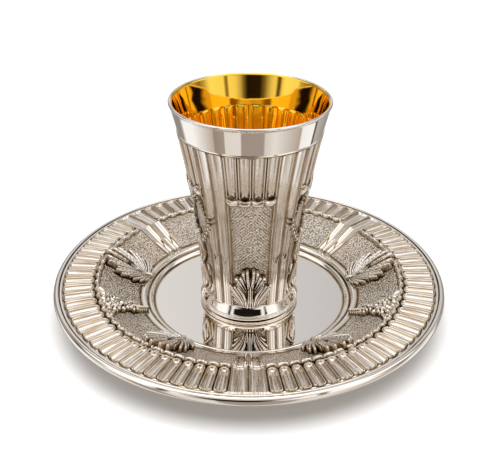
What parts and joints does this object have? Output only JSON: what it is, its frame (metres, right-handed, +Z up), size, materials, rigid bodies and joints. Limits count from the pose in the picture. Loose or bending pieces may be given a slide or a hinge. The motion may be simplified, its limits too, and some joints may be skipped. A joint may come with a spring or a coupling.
{
  "type": "kiddush cup with saucer",
  "caption": "Flared silver kiddush beaker, gilt inside, with fluted and matted panels, standing in the mirror well of a fluted saucer with raised acanthus leaves and a rolled rim.",
  "frame": {"origin": "on the table under the centre of the saucer", "axes": "+Z up out of the cup's mouth; -Y is the front, where a reeded column of the saucer and a palmette panel of the cup face"},
  "size_m": [0.156, 0.156, 0.0888],
  "materials": {
    "silver": "polished sterling silver with a warm brown patina in the recesses and a matted ground",
    "gilding": "polished gold plating inside the cup"
  },
  "bodies": {
    "root": {"cup": "silver", "saucer": "silver"}
  },
  "joints": []
}
